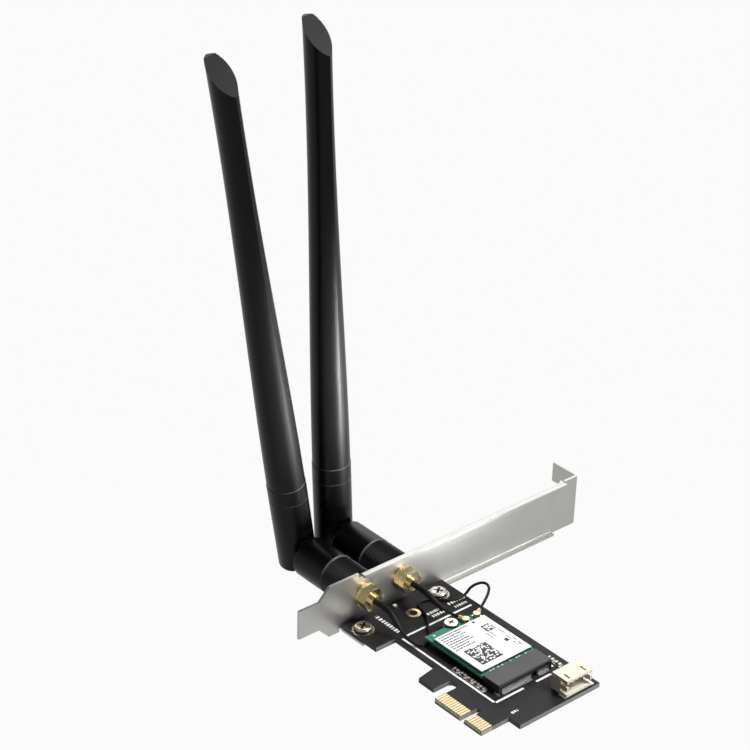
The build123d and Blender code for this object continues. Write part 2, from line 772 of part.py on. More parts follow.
# Plug header in the far corner: open front, slots in its roof and sides, four pins and two solder tabs
header_back_y = header_front_y + header_depth
with BuildPart() as header_housing:
    with BuildSketch(flat(board_high)):
        with Locations((header_x, (header_front_y + header_back_y) / 2)):
            Rectangle(header_width, header_depth)
    extrude(amount=header_height)
    with BuildSketch(Plane(origin=(header_x, header_front_y, board_high + header_height / 2),
                           x_dir=(1, 0, 0), z_dir=(0, -1, 0))):
        Rectangle(header_width - 2 * header_wall, header_height - 2 * header_wall)
    extrude(amount=-cavity_depth, mode=Mode.SUBTRACT)
    with BuildSketch(flat(board_high + header_height)):
        with Locations([(header_x - header_width * 0.32, header_front_y + header_slot_length / 2 + 0.9),
                        (header_x + header_width * 0.32, header_front_y + header_slot_length / 2 + 0.9)]):
            Rectangle(header_slot_width, header_slot_length)
    extrude(amount=-header_wall, mode=Mode.SUBTRACT)
    with BuildSketch(Plane.YZ.offset(header_x)):
        side_slot_y = header_front_y + side_slot_length / 2
        with Locations([(side_slot_y, board_high + level) for level in side_slot_levels]):
            Rectangle(side_slot_length, side_slot_height)
    extrude(amount=header_width, both=True, mode=Mode.SUBTRACT)
    with BuildSketch(Plane(origin=(header_x, header_back_y, board_high + pin_rise),
                           x_dir=(1, 0, 0), z_dir=(0, -1, 0))):
        with GridLocations(pin_pitch, 1, pin_count, 1):
            Rectangle(pin_side, pin_side)
    extrude(amount=header_depth - cavity_depth, mode=Mode.SUBTRACT)
header_housing.part.label = "header_housing"

pin_xs = [header_x + (n - (pin_count - 1) / 2) * pin_pitch for n in range(pin_count)]
pin_back_y = header_back_y + 0.9
with BuildPart() as header_pins:
    for x in pin_xs:
        with BuildSketch(Plane.YZ.offset(x - pin_side / 2)):
            with BuildLine():
                Polyline(
                    (header_front_y + pin_setback_y, board_high + pin_rise - pin_side / 2),
                    (header_front_y + pin_setback_y, board_high + pin_rise + pin_side / 2),
                    (pin_back_y, board_high + pin_rise + pin_side / 2),
                    (pin_back_y, board_high), (pin_back_y - pin_side, board_high),
                    (pin_back_y - pin_side, board_high + pin_rise - pin_side / 2), close=True)
            make_face()
        extrude(amount=pin_side)
    with BuildSketch(flat(board_high)):
        header_tab_reach = (header_width + header_tab[0]) / 2
        with Locations([(header_x + s * header_tab_reach, header_front_y + 1.2) for s in (-1, 1)]):
            Rectangle(header_tab[0], header_tab[1])
    extrude(amount=header_tab[2])
header_pins.part.label = "header_pins"

# Chip parts: dark bodies and tinned ends
with BuildPart() as chip_bodies:
    with BuildSketch(flat(board_high)):
        with Locations(chip_places):
            Rectangle(chip_width, chip_length - 2 * chip_cap)
    extrude(amount=chip_tall - 0.04)
chip_bodies.part.label = "chip_bodies"

chip_end_places = [(x, y + s * (chip_length - chip_cap) / 2) for x, y in chip_places for s in (-1, 1)]
with BuildPart() as chip_ends:
    with BuildSketch(flat(board_high)):
        with Locations(chip_end_places):
            Rectangle(chip_width + 0.06, chip_cap)
    extrude(amount=chip_tall)
chip_ends.part.label = "chip_ends"


# Aerials: the same pieces twice, on planes that lean by each aerial's own angle
def coupling_nut(seat):
    """Knurled nut that screws on the jack, with a back wall that catches the plug's flange."""
    teeth = []
    for n in range(2 * nut_teeth):
        r = nut_radius - (n % 2) * tooth_depth
        teeth.append((r * cos(pi * n / nut_teeth), r * sin(pi * n / nut_teeth)))
    with BuildPart() as nut:
        with BuildSketch(aerial_plane(seat, nut_start_y)):
            with BuildLine():
                Polyline(*teeth, close=True)
            make_face()
        extrude(amount=nut_length)
        with BuildSketch(aerial_plane(seat, nut_start_y)):
            Circle(insert_radius)
        extrude(amount=nut_length - nut_wall_back, mode=Mode.SUBTRACT)
        with BuildSketch(aerial_plane(seat, nut_start_y)):
            Circle(plug_neck_radius + plug_slack)
        extrude(amount=nut_length, mode=Mode.SUBTRACT)
    return nut


def nut_insert(seat):
    """Brass ring with the nut's thread, shown as a plain bore."""
    with BuildPart() as ring:
        with BuildSketch(aerial_plane(seat, nut_start_y)):
            Circle(insert_radius)
            Circle(barrel_thread + insert_slack, mode=Mode.SUBTRACT)
        extrude(amount=nut_length - nut_wall_back)
    return ring


def elbow_body(seat):
    """Round elbow with a flat tongue for the hinge."""
    with BuildPart() as elbow:
        with BuildSketch(aerial_plane(seat, elbow_start_y)):
            Circle(elbow_radius)
        extrude(amount=elbow_end_y - elbow_start_y)
        chamfer(elbow.edges().group_by(Axis.Y)[0], length=elbow_edge)
        fillet(elbow.edges().group_by(Axis.Y)[-1], radius=elbow_round)
        with BuildSketch(tongue_plane(seat)):
            Circle(tongue_radius)
            with Locations((-(hinge_y - elbow_end_y + elbow_round) / 2, (tongue_top - tongue_radius) / 2)):
                Rectangle(hinge_y - elbow_end_y + elbow_round, tongue_top + tongue_radius)
        extrude(amount=tongue_thick / 2, both=True)
        with BuildSketch(tongue_plane(seat)):
            Circle(hinge_pin_radius + pin_running_fit)
        extrude(amount=tongue_thick, both=True, mode=Mode.SUBTRACT)
        with BuildSketch(aerial_plane(seat, elbow_start_y)):
            Circle(plug_neck_radius)
        extrude(amount=plug_end_y - elbow_start_y, mode=Mode.SUBTRACT)
    return elbow


def plug_body(seat):
    """Gold body of the aerial's own plug, set in the elbow."""
    with BuildPart() as body:
        with BuildSketch(aerial_plane(seat, flange_front_y)):
            Circle(plug_flange_radius)
        extrude(amount=plug_flange_thick)
        with BuildSketch(aerial_plane(seat, flange_front_y)):
            Circle(plug_neck_radius)
        extrude(amount=plug_length)
        with BuildSketch(aerial_plane(seat, flange_front_y)):
            Circle(plug_bore)
        extrude(amount=plug_length, mode=Mode.SUBTRACT)
    return body


def plug_insulator(seat):
    """White insulator inside the plug."""
    with BuildPart() as ring:
        with BuildSketch(aerial_plane(seat, flange_front_y)):
            Circle(plug_bore)
            Circle(plug_contact_radius, mode=Mode.SUBTRACT)
        extrude(amount=plug_length)
    return ring


def plug_contact(seat):
    """Centre contact with a socket that takes the jack's pin."""
    with BuildPart() as contact:
        with BuildSketch(aerial_plane(seat, flange_front_y - contact_lead)):
            Circle(plug_contact_radius)
        extrude(amount=plug_length + contact_lead)
        with BuildSketch(aerial_plane(seat, flange_front_y - contact_lead)):
            Circle(jack_pin_radius + contact_slack)
        extrude(amount=contact_lead + 1.0, mode=Mode.SUBTRACT)
    return contact


def hinge_pin(seat):
    """Steel pin held in the fork of the whip."""
    with BuildPart() as pin:
        with BuildSketch(tongue_plane(seat)):
            Circle(hinge_pin_radius)
        extrude(amount=foot_radius - pin_setback, both=True)
    return pin


def whip_foot(seat):
    """Forked foot of the whip, with a spigot for the collar and the sleeve."""
    with BuildPart() as foot:
        with BuildSketch(whip_plane(seat, -foot_radius)):
            Circle(foot_radius)
        extrude(amount=collar_low + foot_radius)
        with BuildSketch(fork_plane(seat)) as side_view:
            Circle(foot_radius)
            with Locations((0, (collar_low + 1) / 2)):
                Rectangle(2 * foot_radius, collar_low + 1)
            with Locations((0, -foot_drop - foot_radius)):
                Rectangle(2 * foot_radius, 2 * foot_radius, mode=Mode.SUBTRACT)
            fillet(side_view.vertices().group_by(Axis.Y)[0], radius=foot_round)
        extrude(amount=foot_radius + 1, both=True, mode=Mode.INTERSECT)
        with BuildSketch(whip_plane(seat, collar_low)):
            Circle(foot_spigot)
        extrude(amount=collar_high - collar_low + spigot_length)
        with BuildSketch(fork_plane(seat)):
            with Locations((0, (fork_floor - foot_radius - 1) / 2)):
                Rectangle(2 * foot_radius + 2, fork_floor + foot_radius + 1)
        extrude(amount=tongue_thick / 2 + tongue_side_gap, both=True, mode=Mode.SUBTRACT)
        with BuildSketch(fork_plane(seat)):
            Circle(hinge_pin_radius)
        extrude(amount=foot_radius - pin_setback, both=True, mode=Mode.SUBTRACT)
        with BuildSketch(whip_plane(seat, radiator_root)):
            Circle(radiator_radius)
        extrude(amount=collar_high + spigot_length - radiator_root, mode=Mode.SUBTRACT)
    return foot


def whip_collar(seat):
    """Collar between the foot and the sleeve, with a fine bevel at both seams."""
    with BuildPart() as collar:
        with BuildSketch(whip_plane(seat, collar_low)):
            Circle(foot_radius)
        extrude(amount=collar_high - collar_low)
        chamfer(collar.edges(), length=seam_bevel)
        with BuildSketch(whip_plane(seat, collar_low)):
            Circle(foot_spigot + spigot_slack)
        extrude(amount=collar_high - collar_low, mode=Mode.SUBTRACT)
    return collar


def whip_sleeve(seat):
    """Hollow whip: round at the foot, drawn out to a thin pointed oval, cut on a slant with a blunt peak."""
    run = whip_mid + whip_overrun - collar_high
    with BuildPart() as sleeve:
        for share, half_thick, half_wide in whip_sections:
            with BuildSketch(whip_plane(seat, collar_high + share * run)):
                with BuildLine():
                    ThreePointArc((0, -half_wide), (half_thick, 0), (0, half_wide))
                    ThreePointArc((0, half_wide), (-half_thick, 0), (0, -half_wide))
                make_face()
        loft()
        tip = whip_plane(seat, whip_mid)
        slant = tip.z_dir * cos(radians(whip_cut_angle)) - tip.y_dir * sin(radians(whip_cut_angle))
        split(bisect_by=Plane(origin=tip.origin, x_dir=tip.x_dir, z_dir=slant), keep=Keep.BOTTOM)
        split(bisect_by=whip_plane(seat, whip_mid + tip_flat_rise), keep=Keep.BOTTOM)
        with BuildSketch(whip_plane(seat, collar_high)):
            Circle(foot_spigot + spigot_slack)
        extrude(amount=spigot_length + spigot_slack, mode=Mode.SUBTRACT)
        with BuildSketch(whip_plane(seat, collar_high + spigot_length)):
            Circle(core_low_radius)
        with BuildSketch(whip_plane(seat, core_top)):
            Circle(core_top_radius)
        loft(mode=Mode.SUBTRACT)
    return sleeve


def radiator(seat):
    """Brass radiating rod, set in the foot."""
    with BuildPart() as rod:
        with BuildSketch(whip_plane(seat, radiator_root)):
            Circle(radiator_radius)
        extrude(amount=radiator_top - radiator_root)
    return rod


makers = {
    "coupling_nut": coupling_nut, "nut_insert": nut_insert, "elbow": elbow_body, "plug_body": plug_body,
    "plug_insulator": plug_insulator, "plug_contact": plug_contact, "hinge_pin": hinge_pin,
    "whip_foot": whip_foot, "whip_collar": whip_collar, "whip_sleeve": whip_sleeve, "radiator": radiator,
}
pieces = [
    main_board, edge_contacts, board_pads, io_bracket, bracket_screws, module_board, module_shield,
    module_label, radio_chip, module_parts, socket_housing, socket_tails, module_standoff, module_screw,
    aerial_receptacles, pigtail_left, pigtail_right, plug_left, plug_right, sleeve_left, sleeve_right,
    jack_left, jack_right, jack_washers, jack_nuts, jack_insulators, jack_pins, header_housing, header_pins,
    chip_bodies, chip_ends,
]
seats = {"left": (jack_left_x, lean_left, tip_in_left), "right": (jack_right_x, lean_right, tip_in_right)}
for side, seat in seats.items():
    for name, maker in makers.items():
        piece = maker(seat)
        piece.part.label = f"{side}_{name}"
        pieces.append(piece)

for piece in pieces:
    export_step(piece.part, f"parts/{piece.part.label}.step")
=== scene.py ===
"""Dresses the wireless network card: finishes for every piece, printed marks, leads, light and camera."""

import math

import bpy
import numpy as np
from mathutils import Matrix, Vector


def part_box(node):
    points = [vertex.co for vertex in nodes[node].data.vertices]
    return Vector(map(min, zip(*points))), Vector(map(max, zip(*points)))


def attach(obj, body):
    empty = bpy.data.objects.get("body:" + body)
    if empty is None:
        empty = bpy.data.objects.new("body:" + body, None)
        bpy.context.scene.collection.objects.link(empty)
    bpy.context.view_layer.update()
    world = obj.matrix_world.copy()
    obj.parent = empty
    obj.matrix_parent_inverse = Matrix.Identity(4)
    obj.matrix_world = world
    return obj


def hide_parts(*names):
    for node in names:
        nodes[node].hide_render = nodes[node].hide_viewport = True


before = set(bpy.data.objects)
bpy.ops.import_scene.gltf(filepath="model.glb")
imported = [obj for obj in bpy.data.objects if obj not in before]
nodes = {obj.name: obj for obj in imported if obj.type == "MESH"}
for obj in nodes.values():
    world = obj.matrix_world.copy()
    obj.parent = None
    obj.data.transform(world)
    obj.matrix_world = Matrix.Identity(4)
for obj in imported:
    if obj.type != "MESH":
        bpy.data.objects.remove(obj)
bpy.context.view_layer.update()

MM = 0.001
MM_PER_METRE = 1000.0
ALONG_X, ALONG_Y = 0, 1

# Places on the part, in millimetres
JACK_Z = 8.4
HINGE_Y = 92.7
ELBOW_START = 71.86
COLLAR_ENDS = (21.6, 27.2)
SAWN_ABOVE = 150.0
EYELET_X, EYELET_Y, EYELET_RADIUS = 24.4, 48.9, 1.3
TONGUE_NEAR = 12.15
TONGUE_BARE_TO = 4.75
WHITE_CHIP_FROM = 50.0

# Each aerial: its hinge along x in millimetres, its sideways lean and its tip over the card in degrees
SEATS = {"left": (12.3, -10.6, 1.5), "right": (27.9, -3.2, 0.0)}


def top_of(name):
    """Height of a node's top, in millimetres."""
    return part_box(name)[1][2] / MM


# Finishes


class Amount:
    """A number that changes over a surface. Arithmetic on it adds Math nodes to its finish."""

    def __init__(self, finish, socket):
        self.finish = finish
        self.socket = socket

    def math(self, operation, *others):
        return self.finish.math(operation, self, *others)

    def __add__(self, other):
        return self.math("ADD", other)

    def __sub__(self, other):
        return self.math("SUBTRACT", other)

    def __rsub__(self, other):
        return self.finish.math("SUBTRACT", other, self)

    def __mul__(self, other):
        return self.math("MULTIPLY", other)

    def __truediv__(self, other):
        return self.math("DIVIDE", other)

    def __abs__(self):
        return self.math("ABSOLUTE")

    __radd__ = __add__
    __rmul__ = __mul__

    def clipped(self):
        """Kept between 0 and 1."""
        return self.math("MINIMUM", 1.0).math("MAXIMUM", 0.0)

    def step(self, edge, soft):
        """0 below edge, 1 above it, over a ramp of width soft."""
        return ((self - edge) / soft + 0.5).clipped()


class Finish:
    """One material: a Principled surface and the nodes that feed it."""

    def __init__(self, name, **constants):
        self.material = bpy.data.materials.new(name)
        self.material.use_nodes = True
        self.tree = self.material.node_tree
        self.surface = self.tree.nodes["Principled BSDF"]
        for label, value in constants.items():
            self.feed(label.replace("_", " ").title().replace("Ior", "IOR"), value)

    def node(self, kind, settings=None, sockets=None):
        """A node of that kind: its settings first, then the values or links of its sockets."""
        made = self.tree.nodes.new(kind)
        for label, value in (settings or {}).items():
            setattr(made, label, value)
        for label, value in (sockets or {}).items():
            self.join(value, made.inputs[label])
        return made

    def join(self, value, socket):
        """Links a varying value to a socket, or sets a plain one there."""
        if isinstance(value, Amount):
            value = value.socket
        if isinstance(value, bpy.types.NodeSocket):
            self.tree.links.new(value, socket)
        elif socket.type == "RGBA" and len(value) == 3:
            socket.default_value = (*value, 1.0)
        else:
            socket.default_value = value

    def feed(self, label, value):
        """Gives the surface a value, by the label of its socket."""
        self.join(value, self.surface.inputs[label])

    def math(self, operation, *values):
        """The result of one Math node."""
        made = self.node("ShaderNodeMath", {"operation": operation}, dict(enumerate(values)))
        return Amount(self, made.outputs[0])

    def split(self, vector):
        """The three parts of a vector."""
        parts = self.node("ShaderNodeSeparateXYZ", None, {"Vector": vector}).outputs
        return [Amount(self, part) for part in parts]

    def place(self):
        """Object coordinates, and their three parts in millimetres."""
        spot = self.node("ShaderNodeTexCoord").outputs["Object"]
        return spot, [part * MM_PER_METRE for part in self.split(spot)]

    def facing(self):
        """The three parts of the surface's own direction."""
        return self.split(self.node("ShaderNodeNewGeometry").outputs["Normal"])

    def grain(self, spot, size_mm, stretch=(1.0, 1.0, 1.0), detail=3.0):
        """Noise with grains of about that size, drawn out along the axes where stretch is above 1."""
        pulled = self.node("ShaderNodeVectorMath", {"operation": "DIVIDE"}, {0: spot, 1: stretch})
        made = self.node("ShaderNodeTexNoise", None, {
            "Vector": pulled.outputs[0], "Scale": MM_PER_METRE / size_mm, "Detail": detail,
        })
        return Amount(self, made.outputs["Fac"])

    def blend(self, share, first, second):
        """Colour first where share is 0, second where it is 1."""
        sockets = {"Factor": share, 6: first, 7: second}
        return self.node("ShaderNodeMix", {"data_type": "RGBA"}, sockets).outputs[2]

    def bump(self, height, depth_mm, strength):
        """Fine relief of that depth."""
        made = self.node("ShaderNodeBump", None, {
            "Height": height, "Distance": depth_mm * MM, "Strength": strength,
        })
        self.feed("Normal", made.outputs["Normal"])


def metal(name, colour, dark, roughness, spread, size_mm, stretch=(1.0, 1.0, 1.0)):
    """Plated metal: two tones in drawn-out grains, and a roughness that wanders with them."""
    finish = Finish(name, metallic=1.0)
    spot, _ = finish.place()
    streak = finish.grain(spot, size_mm, stretch)
    cloud = finish.grain(spot, 9.0)
    tone = (cloud * 0.7 + streak * 0.5 - 0.1).clipped()
    finish.feed("Base Color", finish.blend(tone, dark, colour))
    finish.feed("Roughness", streak * spread + cloud * spread + (roughness - spread))
    finish.bump(streak, 0.006, 0.2)
    return finish.material


def moulding(name, colour, wear_and_painted_light, roughness, grain_mm, depth_mm):
    """Moulded plastic: a fine pebbled skin, faint cloudy tone and a roughness that wanders with them."""
    finish = Finish(name, specular_ior_level=0.4)
    spot, _ = finish.place()
    pebble = finish.grain(spot, grain_mm, detail=2.0)
    cloud = finish.grain(spot, 14.0)
    tone = (cloud * 0.8 + pebble * 0.3 - 0.1).clipped()
    finish.feed("Base Color", finish.blend(tone, colour, wear_and_painted_light))
    finish.feed("Roughness", cloud * 0.1 + pebble * 0.08 + (roughness - 0.09))
    finish.bump(pebble, depth_mm, 0.5)
    return finish.material


def solder_mask(name, mask, lit, laminate, core, bare_x=None):
    """Circuit board: mask over a faint weave on the faces, bare layered laminate on the cut edges.

    On a keyed board the tongue is bare up to bare_x: pale at its edges and olive between the contacts.
    """
    finish = Finish(name, specular_ior_level=0.14, coat_roughness=0.35)
    spot, (x, y, _) = finish.place()
    flat = abs(finish.facing()[2]).step(0.97, 0.03)
    weave = ((x * 8.0).math("SINE") * (y * 8.0).math("SINE")) * 0.5 + 0.5
    cloud = finish.grain(spot, 6.0)
    speck = finish.grain(spot, 0.35)
    layers = finish.grain(spot, 0.5, (6.0, 6.0, 1.0))
    face = finish.blend((cloud * 0.6 + weave * 0.2 + speck * 0.2).clipped(), mask, lit)
    edge = finish.blend(layers, laminate, core)
    if bare_x is not None:
        tongue = (1.0 - x.step(bare_x, 0.1)) * (1.0 - y.step(TONGUE_NEAR + 0.5, 0.1))
        pale = finish.blend(layers, (0.34, 0.34, 0.28), (0.46, 0.46, 0.38))
        olive = finish.blend(cloud, (0.03, 0.024, 0.011), (0.06, 0.048, 0.022))
        edge = finish.blend(tongue, edge, pale)
        face = finish.blend(tongue, face, olive)
    finish.feed("Base Color", finish.blend(flat, edge, face))
    finish.feed("Roughness", 0.66 - flat * 0.14 + speck * 0.1)
    finish.feed("Coat Weight", flat * 0.05)
    finish.bump(weave * 0.3 + speck, 0.008, 0.3)
    return finish.material


def bracket_plate():
    """Satin nickel sheet: fine grain along the bracket, soft cloudy tone and faint handling marks."""
    finish = Finish("bracket_satin_nickel", metallic=1.0)
    spot, _ = finish.place()
    brush = finish.grain(spot, 0.25, (40.0, 1.0, 1.0))
    cloud = finish.grain(spot, 12.0)
    smudge = finish.grain(spot, 3.0, detail=5.0)
    tone = (cloud * 0.6 + brush * 0.25 + smudge * 0.25 - 0.05).clipped()
    finish.feed("Base Color", finish.blend(tone, (0.36, 0.357, 0.34), (0.47, 0.466, 0.445)))
    finish.feed("Roughness", brush * 0.1 + smudge * 0.12 + 0.30)
    finish.bump(brush, 0.006, 0.25)
    return finish.material


def screw_steel(name, colour, top, deep):
    """Plated screw head: bright above, with painted shade darkening down the recess and round the rim below top
    minus deep.
    """
    finish = Finish(name, metallic=1.0)
    spot, (_, _, z) = finish.place()
    high = z.step(top - deep, deep * 0.8)
    cloud = finish.grain(spot, 0.8)
    tone = (high * (cloud * 0.4 + 0.7)).clipped()
    # Painted shade: the dark brown in the recess and round the rim
    finish.feed("Base Color", finish.blend(tone, (0.07, 0.055, 0.04), colour))
    finish.feed("Roughness", cloud * 0.15 + 0.2)
    finish.bump(finish.grain(spot, 0.25), 0.008, 0.3)
    return finish.material


def plated_rings():
    """Pale plated copper on the board, with painted shade down the barrel of the spare hole."""
    finish = Finish("plated_rings", metallic=1.0)
    spot, (x, y, _) = finish.place()
    dx, dy = x - EYELET_X, y - EYELET_Y
    clear_of_hole_shade = (dx * dx + dy * dy).math("SQRT").step(EYELET_RADIUS + 0.03, 0.04)
    cloud = finish.grain(spot, 1.2)
    ring = finish.blend(cloud, (0.58, 0.52, 0.38), (0.84, 0.79, 0.64))
    # Painted shade: the barrel of the spare hole is drawn dark brown
    finish.feed("Base Color", finish.blend(clear_of_hole_shade, (0.03, 0.025, 0.02), ring))
    finish.feed("Roughness", cloud * 0.12 + 0.24)
    finish.bump(finish.grain(spot, 0.3), 0.008, 0.3)
    return finish.material


def shield_can():
    """Tinned can: bright on top; painted shade and a painted green reflection of the board on its low walls."""
    finish = Finish("shield_tin", metallic=1.0)
    spot, _ = finish.place()
    top = finish.facing()[2].step(0.7, 0.2)
    cloud = finish.grain(spot, 1.5)
    # Painted shade and painted reflection of the green board on the walls, chosen by which way the surface
    # faces
    wall = finish.blend(cloud, (0.10, 0.16, 0.13), (0.20, 0.28, 0.24))
    finish.feed("Base Color", finish.blend(top, wall, (0.78, 0.78, 0.76)))
    finish.feed("Roughness", cloud * 0.15 + 0.32)
    finish.bump(finish.grain(spot, 0.4), 0.006, 0.3)
    return finish.material


def socket_skin():
    """Socket moulding: black on the sides, with a cloudy painted light grey on top for the light falling there.
    """
    finish = Finish("socket_moulding", specular_ior_level=0.3)
    spot, _ = finish.place()
    top = finish.facing()[2].step(0.85, 0.1)
    cloud = finish.grain(spot, 7.0)
    pebble = finish.grain(spot, 0.15, detail=2.0)
    # Painted light: the top faces get a lighter grey than the black sides
    wear_and_painted_light = finish.blend(cloud, (0.045, 0.046, 0.046), (0.068, 0.069, 0.069))
    finish.feed("Base Color", finish.blend(top, (0.008, 0.008, 0.008), wear_and_painted_light))
    finish.feed("Roughness", pebble * 0.12 + 0.46)
    finish.bump(pebble, 0.01, 0.4)
    return finish.material


def chip_ceramic():
    """Fired chip parts: brown by the socket, white on the one near the bracket, each a little mottled."""
    finish = Finish("chip_ceramic", specular_ior_level=0.4)
    spot, (_, y, _) = finish.place()
    mottle = finish.grain(spot, 0.3)
    brown = finish.blend(mottle, (0.05, 0.038, 0.03), (0.13, 0.10, 0.08))
    white = finish.blend(mottle, (0.6, 0.6, 0.6), (0.9, 0.9, 0.9))
    finish.feed("Base Color", finish.blend(y.step(WHITE_CHIP_FROM, 1.0), brown, white))
    finish.feed("Roughness", mottle * 0.15 + 0.35)
    finish.bump(mottle, 0.006, 0.3)
    return finish.material


def lead_jacket():
    """Soft black jacket: faint ripples and dusty lighter patches."""
    finish = Finish("lead_jacket_black", specular_ior_level=0.2)
    spot, _ = finish.place()
    dust = finish.grain(spot, 1.6)
    ripple = finish.grain(spot, 0.3)
    tone = finish.blend(dust, (0.0022, 0.0018, 0.0016), (0.006, 0.005, 0.0045))
    finish.feed("Base Color", tone)
    finish.feed("Roughness", dust * 0.15 + 0.40)
    finish.bump(ripple, 0.015, 0.3)
    return finish.material


def aerial_skin(side):
    """Satin black moulding of an aerial: fine pebble, soft tone, painted highlight lines on its edges and a
    paler sawn tip.
    """
    hinge_x, lean, tip_in = SEATS[side]
    hinge = (hinge_x, HINGE_Y, JACK_Z)
    lean, tip_in = math.radians(lean), math.radians(tip_in)
    up = (math.sin(lean) * math.cos(tip_in), -math.sin(tip_in), math.cos(lean) * math.cos(tip_in))
    outward = (0.0, 1.0, 0.0)
    # Painted highlight lines: direction from the hinge, distance along it, half width, tone
    highlight_lines = [
        (up, COLLAR_ENDS[0], 0.14, 0.05),
        (up, COLLAR_ENDS[1], 0.14, 0.05),
        (outward, ELBOW_START - HINGE_Y + 0.2, 0.24, 0.12),
    ]
    finish = Finish(f"{side}_aerial_black", specular_ior_level=0.12)
    spot, parts = finish.place()
    pebble = finish.grain(spot, 0.12, detail=2.0)
    cloud = finish.grain(spot, 22.0)

    def along(direction):
        """Distance from the hinge along a direction."""
        trio = zip(parts, hinge, direction)
        return sum((part - origin) * share for part, origin, share in trio)

    tone = finish.blend(cloud, (0.0016, 0.0016, 0.0018), (0.0030, 0.0030, 0.0032))
    # Painted highlights: pale lines round the collar's two ends and the elbow's edge by the nut
    for direction, distance, half_width, wear_and_painted_light in highlight_lines:
        line = 1.0 - (abs(along(direction) - distance) / half_width).step(1.0, 0.5)
        tone = finish.blend(line, tone, (wear_and_painted_light, wear_and_painted_light, wear_and_painted_light))
    sawn = along(up).step(SAWN_ABOVE, 1.0) * finish.facing()[2].step(0.4, 0.1)
    sawn_tone = finish.blend(pebble, (0.10, 0.10, 0.10), (0.22, 0.22, 0.22))
    finish.feed("Base Color", finish.blend(sawn, tone, sawn_tone))
    finish.feed("Roughness", cloud * 0.06 + pebble * 0.06 + sawn * 0.2 + 0.26)
    finish.bump(pebble, 0.012, 0.35)
    return finish.material


def printed(name, ink, thin):
    """Print: ink that is a little thin in places."""
    finish = Finish(name)
    spot, _ = finish.place()
    patch = finish.grain(spot, 0.4)
    finish.feed("Base Color", finish.blend(patch, thin, ink))
    finish.feed("Roughness", patch * 0.1 + 0.5)
    return finish.material


# Metals: bright tone, dark tone, roughness and its spread, grain size and its stretch along x, y and z
gold = metal("gold_plate", (0.86, 0.75, 0.48), (0.56, 0.43, 0.22), 0.20, 0.05, 0.5, (1.0, 6.0, 1.0))
plug_gold = metal("plug_gold", (0.84, 0.71, 0.44), (0.62, 0.48, 0.25), 0.30, 0.06, 0.3)
contact_gold = metal("contact_gold", (0.64, 0.52, 0.33), (0.50, 0.39, 0.22), 0.40, 0.06, 0.15,
                     (12.0, 1.0, 1.0))
brass = metal("radiator_brass", (0.80, 0.60, 0.28), (0.62, 0.42, 0.16), 0.34, 0.08, 0.3,
              (1.0, 1.0, 20.0))
steel = metal("screw_steel", (0.88, 0.87, 0.84), (0.62, 0.61, 0.58), 0.22, 0.08, 0.4, (2.0, 2.0, 1.0))
tail_tin = metal("tail_tin", (0.72, 0.72, 0.71), (0.42, 0.42, 0.41), 0.40, 0.08, 0.3)
tin = metal("tinned_metal", (0.80, 0.79, 0.77), (0.54, 0.53, 0.51), 0.36, 0.08, 0.3)
board_screw = screw_steel("bracket_screw_steel", (0.86, 0.85, 0.82), top_of("bracket_screws"), 0.5)
module_steel = screw_steel("module_screw_plate", (0.85, 0.78, 0.62), top_of("module_screw"), 0.25)
ring_plate = plated_rings()
shield_tin = shield_can()
nickel = bracket_plate()

# Boards: mask and its lighter tone, laminate and its core
board_mask = solder_mask("board_mask_charcoal", (0.0112, 0.0103, 0.0109), (0.0172, 0.0159, 0.0167),
                         (0.17, 0.165, 0.17), (0.28, 0.27, 0.28), bare_x=TONGUE_BARE_TO)
module_mask = solder_mask("module_mask_green", (0.030, 0.165, 0.108), (0.050, 0.23, 0.15),
                          (0.06, 0.20, 0.13), (0.10, 0.28, 0.19))

# Mouldings: colour and its worn tone, roughness, grain size and depth
label_stock = moulding("label_stock", (0.78, 0.78, 0.78), (0.84, 0.84, 0.84), 0.55, 0.2, 0.004)
header_skin = moulding("header_moulding", (0.58, 0.54, 0.44), (0.66, 0.62, 0.52), 0.42, 0.2, 0.008)
insulator_skin = moulding("insulator_white", (0.80, 0.80, 0.78), (0.88, 0.88, 0.86), 0.4, 0.3, 0.005)
pale_chip = moulding("chip_pale", (0.45, 0.46, 0.44), (0.70, 0.71, 0.69), 0.45, 0.15, 0.006)
package_skin = moulding("chip_package", (0.018, 0.018, 0.018), (0.03, 0.03, 0.03), 0.5, 0.1, 0.006)
nut_skin = moulding("nut_black", (0.004, 0.004, 0.0042), (0.010, 0.010, 0.0105), 0.42, 0.12, 0.012)
socket_black = socket_skin()
chip_skin = chip_ceramic()
jacket = lead_jacket()

# Inks: full and thin
silk_ink = printed("silk_white", (0.88, 0.88, 0.86), (0.70, 0.70, 0.69))
label_ink = printed("label_black", (0.010, 0.010, 0.011), (0.030, 0.030, 0.030))
label_grey = printed("label_grey", (0.018, 0.018, 0.020), (0.06, 0.06, 0.065))

